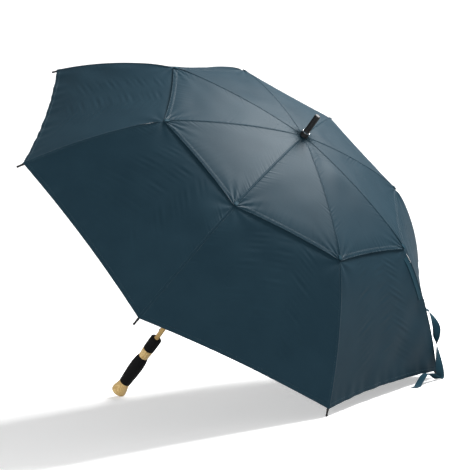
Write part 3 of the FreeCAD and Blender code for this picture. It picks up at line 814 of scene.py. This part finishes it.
for rib in range(1, rib_count + 1):
    rod = grow(f"rib_{rib}_rod", round_bar, [rib_point(rib, rib_stations)],
               Radius=rod_radius, Sides=14, Material=fibreglass)
    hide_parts(f"rib_{rib}_inner", f"rib_{rib}_outer")
    tuple(rib_point(rib, vent_station - blend_reach))
    tuple(rib_point(rib, vent_station + blend_reach))
    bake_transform(rod)
print("rods", rib_count, "each", round(hem_station - rod_start, 3), "long")

# %% [markdown]
# ## Turned pieces
# Eyes, rivets and tips are round about an axis. A profile of radii and distances is spun in mesh
# code: it takes few faces and gives true round ends, where a stretched cylinder wouldn't.
# %% Turned pieces


def turned_part(profile, base, along, across, out, sides=20):
    """Points and faces of a profile of (distance, radius) spun about along, closed at both ends."""
    points, faces = [], []
    for distance, radius in profile:
        for i in range(sides):
            t = 2 * math.pi * i / sides
            points.append(base + along * distance + radius * (math.cos(t) * across + math.sin(t) * out))
    for row in range(len(profile) - 1):
        for i in range(sides):
            j = (i + 1) % sides
            faces.append((row * sides + i, row * sides + j, (row + 1) * sides + j, (row + 1) * sides + i))
    faces.append(tuple(reversed(range(sides))))
    faces.append(tuple((len(profile) - 1) * sides + i for i in range(sides)))
    return points, faces


def outward(piece, angle=35.0):
    """Points all faces outwards and keeps edges sharper than an angle."""
    mesh = piece.data
    work = bmesh.new()
    work.from_mesh(mesh)
    bmesh.ops.remove_doubles(work, verts=work.verts, dist=1e-6)
    bmesh.ops.recalc_face_normals(work, faces=work.faces)
    for edge in work.edges:
        edge.smooth = len(edge.link_faces) == 2 and edge.calc_face_angle(0.0) < math.radians(angle)
    work.to_mesh(mesh)
    work.free()
    mesh.update()
    return piece


# Distance past the corner of the canopy, and radius: a plastic cap with a collar and a ball end
tip_profile = ((-0.0075, 0.00205), (-0.0070, 0.0027), (-0.0045, 0.0030), (-0.0035, 0.0030),
               (-0.0028, 0.0024), (0.0006, 0.0024), (0.0012, 0.0030), (0.0028, 0.0031),
               (0.0040, 0.0025), (0.0090, 0.0023), (0.0128, 0.0022), (0.0134, 0.0025),
               (0.0148, 0.0026), (0.0162, 0.00235), (0.0172, 0.0016), (0.0178, 0.0007))
eye_profile = ((-0.0020, 0.0020), (-0.0018, 0.0026), (0.0018, 0.0026), (0.0020, 0.0020))
for rib in range(1, rib_count + 1):
    along, across, out = rib_ways(rib, hem_station)
    base = rib_point(rib, hem_station)
    points, faces = turned_part(tip_profile, base, along, across, out)
    tip = outward(new_piece(f"rib_{rib}_tip", points, faces, black_plastic))
    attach(tip, f"rib_{rib}_outer")
    # the eye at the crown
    points, faces = turned_part(eye_profile, rib_point(rib, hinge_station), across, along, out)
    eye = outward(new_piece(f"rib_{rib}_eye", points, faces, fibreglass))
    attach(eye, f"rib_{rib}")

# %% [markdown]
# ## Saddles
# The strut pushes the rib through a small moulded saddle with two ears and a rivet. It clips
# round the rod, so it is drawn as a U in section and given thickness. A bevel takes the sharp
# look off its edges, as moulding does.
# %% Saddles


def saddle_part(rib):
    """The moulded saddle: a sleeve round the rod and two ears that hang from it."""
    along, across, out = rib_ways(rib, joint_station)
    base = rib_point(rib, joint_station)
    work = bmesh.new()

    def slab(low, high):
        """A box in the saddle's own directions: along the rib, across it, out of the canopy."""
        corners = []
        for x in (low[0], high[0]):
            for y in (low[1], high[1]):
                for z in (low[2], high[2]):
                    corners.append(work.verts.new(base + x * along + y * across + z * out))
        for face in ((0, 1, 3, 2), (4, 6, 7, 5), (0, 4, 5, 1), (2, 3, 7, 6), (0, 2, 6, 4), (1, 5, 7, 3)):
            work.faces.new([corners[i] for i in face])

    for side in (-1, 1):
        inner, outer = sorted((side * 0.0023, side * 0.0038))
        slab((-0.0050, inner, -0.0034), (0.0050, outer, 0.0005))
        slab((-0.0031, inner, -0.0100), (0.0031, outer, -0.0034))
    slab((-0.0050, -0.0023, -0.0034), (0.0050, 0.0023, -0.0021))
    bmesh.ops.recalc_face_normals(work, faces=work.faces)
    mesh = bpy.data.meshes.new(f"rib_{rib}_saddle")
    work.to_mesh(mesh)
    work.free()
    mesh.materials.append(black_plastic)
    saddle = bpy.data.objects.new(mesh.name, mesh)
    bpy.context.scene.collection.objects.link(saddle)
    bevel = saddle.modifiers.new("soften", "BEVEL")
    bevel.width = 0.00045
    bevel.segments = 3
    return saddle


rivet_profile = ((-0.0046, 0.0006), (-0.0045, 0.0016), (-0.0038, 0.0020), (-0.0037, 0.0012),
                 (0.0037, 0.0012), (0.0038, 0.0020), (0.0045, 0.0016), (0.0046, 0.0006))
for rib in range(1, rib_count + 1):
    saddle = saddle_part(rib)
    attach(saddle, f"rib_{rib}")
    along, across, out = rib_ways(rib, joint_station)
    pivot = rib_point(rib, joint_station, rib_depth + joint_depth)
    points, faces = turned_part(rivet_profile, pivot, across, along, out)
    rivet = outward(new_piece(f"rib_{rib}_rivet", points, faces, steel))
    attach(rivet, f"rib_{rib}")

# %% [markdown]
# ## Rows of stitches
# A hem is held by a row of stitches a few millimetres apart. Copies of one small bead, turned to
# follow the line, are set along it. A bead has only twenty faces, since there are thousands.
# %% Tree: row of stitches


def stitch_tree():
    """Small long beads along each line, pitch apart."""
    tree, start, end = new_tree("Row of stitches", [
        ("Pitch", "NodeSocketFloat", 0.0035), ("Length", "NodeSocketFloat", 0.0024),
        ("Thickness", "NodeSocketFloat", 0.0005), ("Material", "NodeSocketMaterial", None)])
    spread = tree.nodes.new("GeometryNodeCurveToPoints")
    spread.mode = "LENGTH"
    bead = tree.nodes.new("GeometryNodeMeshIcoSphere")
    bead.inputs["Radius"].default_value = 0.5
    bead.inputs["Subdivisions"].default_value = 1
    shape = tree.nodes.new("ShaderNodeCombineXYZ")
    copies = tree.nodes.new("GeometryNodeInstanceOnPoints")
    tree.links.new(start.outputs["Line"], spread.inputs["Curve"])
    tree.links.new(start.outputs["Pitch"], spread.inputs["Length"])
    tree.links.new(spread.outputs["Points"], copies.inputs["Points"])
    tree.links.new(spread.outputs["Rotation"], copies.inputs["Rotation"])
    tree.links.new(bead.outputs["Mesh"], copies.inputs["Instance"])
    for axis, label in (("X", "Thickness"), ("Y", "Thickness"), ("Z", "Length")):
        tree.links.new(start.outputs[label], shape.inputs[axis])
    tree.links.new(shape.outputs["Vector"], copies.inputs["Scale"])
    close_tree(tree, copies.outputs["Instances"], start, end)
    return tree


stitch_row = stitch_tree()
stitch_lift = 0.00012
from_seam = 0.0034


def row_points(surface, stations, across):
    """Points just proud of the cloth along a line of station and across values."""
    stations, across = np.broadcast_arrays(np.asarray(stations, float), np.asarray(across, float))
    return surface(stations, across) + panel_normals(surface, stations, across) * stitch_lift


def seam_across(side, stations, away):
    """Where across is, to stay a set distance from a seam."""
    return side * (1 - away / (line(stations)[0] * sin_half))


stitch_count = 0
for panel in range(1, rib_count + 1):
    for side in (-1, 1):
        rib = panel if side < 0 else panel % rib_count + 1
        hem_across = side * np.linspace(0.012, 0.985, 70)
        plans = {"top": [], "lower": []}
        for layer, edge in (("top", vent_station), ("lower", hem_station)):
            plans[layer].append(row_points(surfaces[layer, panel], edge - stitch_inset, hem_across))
        plans["top"].append(row_points(surfaces["top", panel], vent_station - 0.0016, hem_across))
        for layer, first, last in (("top", 0.03, vent_station - 0.012),
                                   ("lower", vent_station + 0.01, hem_station - 0.012)):
            stations = steps(first, last, 0.004)
            beside = seam_across(side, stations, from_seam)
            plans[layer].append(row_points(surfaces[layer, panel], stations, beside))
        for layer, lines in plans.items():
            body, middle_station, lean, keep = layers[layer][4:]
            stitches = grow(f"stitches_{layer}_{panel}_{side_words[-side]}", stitch_row, lines,
                            Pitch=0.0034, Length=0.0023, Thickness=0.00042, Material=thread_finish)
            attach(stitches, body.format(rib))
            fold_to_rib(stitches, rib, -side, middle_station)
            stitch_count += len(stitches.data.polygons) // 20
print("stitches", stitch_count)

# %% [markdown]
# ## The tie strap
# A flat webbing strap, sewn to one panel, wraps the closed umbrella. Open, it hangs loose: it
# leaves the cloth, turns over on its way down, folds on the floor and ends in front of the hem.
# A ribbon is a line plus a direction for its width. Both are read between a few points by one
# smooth spline, and the section has a thick selvedge each side, so it doesn't look like paper.
# %% Strap route and section
strap_width = 0.0205
strap_across = -0.80
strap_stations = (0.554, 0.567, 0.580)
strap_points = (
    ((0.0110, -0.0130, 0.1720), (-0.56, 0.82, 0.05)), ((0.0180, -0.0100, 0.1570), (-0.10, 1.00, 0.00)),
    ((0.0240, -0.0060, 0.1300), (0.71, 0.71, 0.00)), ((0.0230, -0.0090, 0.1080), (1.00, 0.00, 0.00)),
    ((0.0220, -0.0110, 0.0880), (0.57, -0.82, 0.00)), ((0.0240, -0.0150, 0.0560), (-0.09, -1.00, 0.00)),
    ((0.0270, -0.0200, 0.0220), (-0.70, -0.70, 0.00)), ((0.0290, -0.0270, 0.0036), (-0.95, -0.30, 0.00)),
    ((0.0280, -0.0380, 0.0044), (-1.00, -0.20, 0.00)), ((0.0240, -0.0620, 0.0200), (-1.00, -0.10, 0.00)),
    ((0.0220, -0.0880, 0.0220), (-1.00, 0.00, 0.00)), ((0.0230, -0.1160, 0.0090), (-1.00, 0.10, 0.00)),
    ((0.0250, -0.1340, 0.0018), (-1.00, 0.10, 0.00)), ((0.0270, -0.1540, 0.0014), (-1.00, 0.10, 0.00)),
)
tip_radius, tip_reach = 0.0026, 0.018
r, z, slope = (float(v) for v in line(hem_station, rib_depth))
reach = tip_reach - tip_radius
tip_middle = lie(r + reach * math.cos(slope), 0.0, z - reach * math.sin(slope), rib_angle(5))
tip_foot = tip_middle - np.array([0, 0, tip_radius])


def through(values, per_span):
    """A smooth line through rows of values, evenly divided between them."""
    values = np.asarray(values, float)
    padded = np.vstack([2 * values[0] - values[1], values, 2 * values[-1] - values[-2]])
    found = []
    for i in range(len(values) - 1):
        a, b, c, d = padded[i:i + 4]
        for t in np.arange(per_span) / per_span:
            bend, twist = 2 * a - 5 * b + 4 * c - d, 3 * b - a - 3 * c + d
            found.append(0.5 * (2 * b + (c - a) * t + bend * t * t + twist * t ** 3))
    found.append(values[-1])
    return np.array(found)


lower_five = surfaces["lower", 5]
sewn = [lower_five(np.array(s), np.array(strap_across)) for s in strap_stations]
sewn_out = panel_normals(lower_five, np.array(strap_stations[1]), np.array(strap_across))
sewn_side = unit(lower_five(np.array(strap_stations[1]), np.array(strap_across + 0.05)) - sewn[1])
route = [p + 0.0011 * sewn_out for p in sewn] + [tip_foot + np.array(p) for p, way in strap_points]
turns = [sewn_side] * 3 + [np.array(way) for p, way in strap_points]
strap_line = through(route, 9)
strap_turns = through(turns, 9)


def ribbon(name, middle, turns, half_width, profile, material):
    """A flat band along a line. profile gives (share of the half width, half thickness) across it."""
    along = unit(np.gradient(middle, axis=0))
    turns = unit(turns - along * np.sum(turns * along, axis=1, keepdims=True))
    up = np.cross(along, turns)
    ring = list(profile) + [(share, -thick) for share, thick in reversed(profile)]
    points = np.stack([middle + turns * half_width * share + up * thick for share, thick in ring], axis=1)
    rows, sides = points.shape[:2]
    faces = []
    for i in range(rows - 1):
        for j in range(sides):
            k = (j + 1) % sides
            faces.append((i * sides + j, i * sides + k, (i + 1) * sides + k, (i + 1) * sides + j))
    faces.append(tuple(reversed(range(sides))))
    faces.append(tuple((rows - 1) * sides + i for i in range(sides)))
    piece = outward(new_piece(name, points.reshape(-1, 3), faces, material), 50.0)
    length = float(np.sum(np.linalg.norm(np.diff(middle, axis=0), axis=1)))
    return piece, length, turns, up


webbing = ((-1.0, 0.00030), (-0.96, 0.00062), (-0.86, 0.00062), (-0.78, 0.00042), (-0.4, 0.00040),
           (0.0, 0.00040), (0.4, 0.00040), (0.78, 0.00042), (0.86, 0.00062), (0.96, 0.00062), (1.0, 0.00030))
strap, strap_length, strap_across_ways, strap_up = ribbon(
    "tie_strap_webbing", strap_line, strap_turns, strap_width / 2, webbing, strap_cloth)
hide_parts("tie_strap")
distance_along = np.concatenate([[0], np.cumsum(np.linalg.norm(np.diff(strap_line, axis=0), axis=1))])


def on_strap(distance, share, lift):
    """A point on the strap's upper face: distance from its sewn end, share of its half width."""
    i = np.clip(np.searchsorted(distance_along, distance) - 1, 0, len(strap_line) - 2)
    t = (distance - distance_along[i]) / (distance_along[i + 1] - distance_along[i])
    fields = (strap_line, strap_across_ways, strap_up)
    place, sideways, out = ((1 - t)[:, None] * field[i] + t[:, None] * field[i + 1] for field in fields)
    return place + unit(sideways) * (share * strap_width / 2)[:, None] + unit(out) * lift


def strap_row(first, last, share_first, share_last, lift):
    """A straight row on the strap between two places."""
    t = np.linspace(0, 1, max(4, int(abs(last - first) / 0.002) + 6))
    return on_strap(first + (last - first) * t, share_first + (share_last - share_first) * t, lift)


lower_middle, lower_lean, lower_keep = layers["lower"][-3:]


def fold_with_strap(piece):
    """What is on the strap rides on rib 5's outer part, as the half panel that it is sewn to does."""
    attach(piece, "rib_5_outer")
    fold_to_rib(piece, 5, 1, lower_middle)


# Three rows hold the turned end, and a box with a cross in it holds the sewn end
box_first, box_last, box_share = 0.003, 0.024, 0.72
band_lines = []
for lift in (0.00068, -0.00068):
    for inset in (0.0125, 0.0155, 0.0020):
        band_lines.append(strap_row(strap_length - inset, strap_length - inset, -0.8, 0.8, lift))
    for near, far in ((-1, 1), (1, -1), (-1, -1), (1, 1)):
        band_lines.append(strap_row(box_first, box_last, near * box_share, far * box_share, lift))
    for place in (box_first, box_last):
        band_lines.append(strap_row(place, place, -box_share, box_share, lift))
strap_stitches = grow("tie_strap_stitches", stitch_row, band_lines,
                      Pitch=0.0026, Length=0.0019, Thickness=0.00045, Material=thread_finish)

# %% [markdown]
# ## The fastener on the strap
# A patch of hook tape near the strap's end grips a loop patch on the panel. It is a thin pad
# with a fuzzy pile. The pile is too fine to model hair by hair, so short bristles are spread over
# it by a node tree, a few hundred of them, which is enough to roughen its outline.
# %% Hook patch with bristles


def pile_tree():
    """Short thick bristles along lines, each turned a little by a fixed seed."""
    tree, start, end = new_tree("Pile", [
        ("Pitch", "NodeSocketFloat", 0.001), ("Height", "NodeSocketFloat", 0.0009),
        ("Seed", "NodeSocketInt", 4), ("Material", "NodeSocketMaterial", None)])
    spread = tree.nodes.new("GeometryNodeCurveToPoints")
    spread.mode = "LENGTH"
    bristle = tree.nodes.new("GeometryNodeMeshCone")
    for socket, value in (("Vertices", 5), ("Radius Top", 0.15), ("Radius Bottom", 0.25), ("Depth", 1.0)):
        bristle.inputs[socket].default_value = value
    lean = tree.nodes.new("FunctionNodeRandomValue")
    lean.data_type = "FLOAT_VECTOR"
    lean.inputs[0].default_value = (-0.5, -0.5, 0.0)
    lean.inputs[1].default_value = (0.5, 0.5, 3.0)
    turn = tree.nodes.new("FunctionNodeRotateRotation")
    as_turn = tree.nodes.new("FunctionNodeEulerToRotation")
    quarter = tree.nodes.new("FunctionNodeRotateRotation")
    quarter.rotation_space = "LOCAL"
    quarter.inputs["Rotate By"].default_value = (0.0, math.pi / 2, 0.0)
    turn.rotation_space = "LOCAL"
    copies = tree.nodes.new("GeometryNodeInstanceOnPoints")
    shape = tree.nodes.new("ShaderNodeCombineXYZ")
    tree.links.new(start.outputs["Line"], spread.inputs["Curve"])
    tree.links.new(start.outputs["Pitch"], spread.inputs["Length"])
    tree.links.new(spread.outputs["Points"], copies.inputs["Points"])
    tree.links.new(spread.outputs["Rotation"], quarter.inputs["Rotation"])
    tree.links.new(start.outputs["Seed"], lean.inputs["Seed"])
    tree.links.new(lean.outputs[0], as_turn.inputs["Euler"])
    tree.links.new(quarter.outputs["Rotation"], turn.inputs["Rotation"])
    tree.links.new(as_turn.outputs["Rotation"], turn.inputs["Rotate By"])
    tree.links.new(turn.outputs["Rotation"], copies.inputs["Rotation"])
    tree.links.new(bristle.outputs["Mesh"], copies.inputs["Instance"])
    for axis in "XYZ":
        tree.links.new(start.outputs["Height"], shape.inputs[axis])
    tree.links.new(shape.outputs["Vector"], copies.inputs["Scale"])
    close_tree(tree, copies.outputs["Instances"], start, end)
    return tree


pile = pile_tree()
hook_finish = plastic_finish("hook_tape", (0.012, 0.030, 0.042), 0.6, 700.0)
patch_first, patch_last = strap_length - 0.046, strap_length - 0.018
patch_rows = np.arange(patch_first, patch_last, 0.0012)
patch_places, patch_lift = np.linspace(patch_first, patch_last, 18), 0.00075
patch_middle = on_strap(patch_places, np.zeros(18), patch_lift)
patch_turns = on_strap(patch_places, np.full(18, 0.5), patch_lift) - patch_middle
pad = ((-1.0, 0.0001), (-0.97, 0.0003), (0.0, 0.0003), (0.97, 0.0003), (1.0, 0.0001))
hook_pad = ribbon("tie_strap_hook_pad", patch_middle, patch_turns, strap_width * 0.36, pad, hook_finish)[0]
bristles = grow("tie_strap_bristles", pile, [strap_row(row, row, -0.68, 0.68, 0.0012) for row in patch_rows],
                Pitch=0.0012, Height=0.0008, Seed=4, Material=hook_finish)
for piece in (strap, strap_stitches, hook_pad, bristles):
    fold_with_strap(piece)
print("strap length", round(strap_length, 4), "bristle faces", len(bristles.data.polygons))

# %% [markdown]
# ## Patches and ties
# Where the vent's corners meet the ribs, a small folded tab of cloth and a knot of thread tie the
# upper canopy to the rod. On one panel, beside its seam, sits a narrow loop patch that the strap
# closes on. Both are thin bands laid on the surface, so the ribbon maker above draws them too.
# %% Loop patch, corner tabs and thread ties


def sewn_band(name, surface, first, last, away, side, width, lift):
    """A band sewn on a panel between two stations, a distance from its seam at each end."""
    stations = np.linspace(first, last, 26)
    across = seam_across(side, stations, np.linspace(*away, 26))
    middle = row_points(surface, stations, across) + panel_normals(surface, stations, across) * lift
    turns = surface(stations, across - side * 0.02) - surface(stations, across)
    piece, length, *_ = ribbon(name, middle, turns, width / 2, webbing, strap_cloth)
    return piece, length


loop_width = 0.015
loop_patch, loop_length = sewn_band(
    "loop_patch", surfaces["lower", 4], 0.405, 0.520, (0.013, 0.012), 1, loop_width, 0.0006)
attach(loop_patch, "rib_5_outer")
fold_to_rib(loop_patch, 5, -1, lower_middle)

# Where the threads tie the cloth to a rib: a word for the place, its station, and the body there
tie_places = (("crown", 0.12, "rib_{}"), ("vent", vent_station - 0.030, "rib_{}"),
              ("middle", 0.56, "rib_{}_outer"), ("hem", hem_station - 0.012, "rib_{}_outer"))
tie_turns, tie_pitch, tie_thread = 4, 0.0011, 0.0003
tab_width = 0.0084
for rib in range(1, rib_count + 1):
    along, across, out = rib_ways(rib, vent_station)
    base = rib_point(rib, vent_station - 0.004, 0.0)
    # a folded tab over the seam at the vent's corner
    reaches = np.linspace(-0.011, 0.0015, 12)
    middle = np.array([base + along * s + out * (0.0021 + 0.0006 * math.cos(s * 300)) for s in reaches])
    widths = np.tile(across, (len(reaches), 1))
    tab = ribbon(f"vent_tab_{rib}", middle, widths, tab_width / 2, webbing, strap_cloth)[0]
    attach(tab, f"rib_{rib}")
    # turns of thread round the rod, inside the canopy
    for word, place, body in tie_places:
        along_here, across_here, out_here = rib_ways(rib, place)
        centre = rib_point(rib, place)
        turned = np.linspace(0, 2 * math.pi * tie_turns, 65)[:, None]
        round_rod = np.cos(turned) * across_here + np.sin(turned) * out_here
        along_rod = along_here * tie_pitch * (turned / (2 * math.pi) - tie_turns / 2)
        coil = centre + along_rod + (rod_radius + tie_thread) * round_rod
        tie = grow(f"tie_{word}_{rib}", round_bar, [coil], Radius=tie_thread, Sides=6, Material=thread_finish)
        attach(tie, body.format(rib))

# %% [markdown]
# ## Plain floor and soft light
# The umbrella lies on a pale floor that curves up behind it, so no horizon line cuts the picture.
# One soft box behind and to the right shines on the crown and leaves the lower panels darker, a
# weak one in front lifts the handle, and the air fills the rest. The floor glows a little, and the
# air is brighter, for the camera only: the backdrop is white, yet it doesn't wash out the cloth.
# %% Stage and lights
floor_seen, floor_felt, floor_glow = 0.92, 0.55, 0.36
air_seen, air_felt = 1.0, 0.36
floor_finish = finish("pale_floor", (floor_seen,) * 3, 0.9, Emission_Color=(1.0, 1.0, 1.0, 1.0))
sight = node(floor_finish, "ShaderNodeLightPath")
glow = node(floor_finish, "ShaderNodeMath", {1: floor_glow}, operation="MULTIPLY")
tone = node(floor_finish, "ShaderNodeMix", {6: (*(floor_felt,) * 3, 1.0), 7: (*(floor_seen,) * 3, 1.0)},
            data_type="RGBA")
floor_shader = floor_finish.node_tree.nodes["Principled BSDF"]
join(floor_finish, sight.outputs["Is Camera Ray"], glow.inputs[0])
join(floor_finish, glow.outputs[0], floor_shader.inputs["Emission Strength"])
join(floor_finish, sight.outputs["Is Camera Ray"], tone.inputs[0])
join(floor_finish, tone.outputs[2], floor_shader.inputs["Base Color"])


def studio():
    """A floor that curves up into a wall behind the umbrella."""
    out = np.array([math.sin(camera_turn), -math.cos(camera_turn), 0.0])
    across = np.array([math.cos(camera_turn), math.sin(camera_turn), 0.0])
    front, back, half_width, bend, wall = 14.0, -3.0, 14.0, 1.6, 6.0
    profile = [(front, 0.0), (back, 0.0)]
    for t in np.linspace(0.1, math.pi / 2, 16):
        profile.append((back - bend * math.sin(t), bend * (1 - math.cos(t))))
    profile.append((back - bend, wall))
    points, faces = [], []
    for reach, height in profile:
        for side in (-half_width, half_width):
            points.append(out * reach + across * side + np.array([0, 0, height]))
    for i in range(len(profile) - 1):
        faces.append((2 * i, 2 * i + 1, 2 * i + 3, 2 * i + 2))
    return new_piece("studio_floor", points, faces, floor_finish)


studio()


def soft_light(name, place, size, power, aim):
    """A square soft box that faces a point."""
    data = bpy.data.lights.new(name, "AREA")
    data.size = size
    data.energy = power
    lamp = bpy.data.objects.new(name, data)
    bpy.context.scene.collection.objects.link(lamp)
    lamp.location = place
    lamp.rotation_euler = (Vector(aim) - Vector(place)).to_track_quat("-Z", "Y").to_euler()
    return lamp


soft_light("light_above", (1.1, 1.9, 3.0), 1.5, 310.0, (0.1, 0.1, 0.2))
soft_light("light_front", (1.2, -3.6, 0.7), 1.6, 75.0, (0.0, 0.0, 0.4))
world = bpy.data.worlds.new("studio_air")
world.use_nodes = True
air = world.node_tree.nodes["Background"]
air.inputs["Color"].default_value = (1.0, 1.0, 1.0, 1.0)
air_sight = node(world, "ShaderNodeLightPath")
air_strength = node(world, "ShaderNodeMapRange", {"To Min": air_felt, "To Max": air_seen})
join(world, air_sight.outputs["Is Camera Ray"], air_strength.inputs["Value"])
join(world, air_strength.outputs["Result"], air.inputs["Strength"])
bpy.context.scene.world = world
bpy.context.scene.view_settings.view_transform = "Standard"
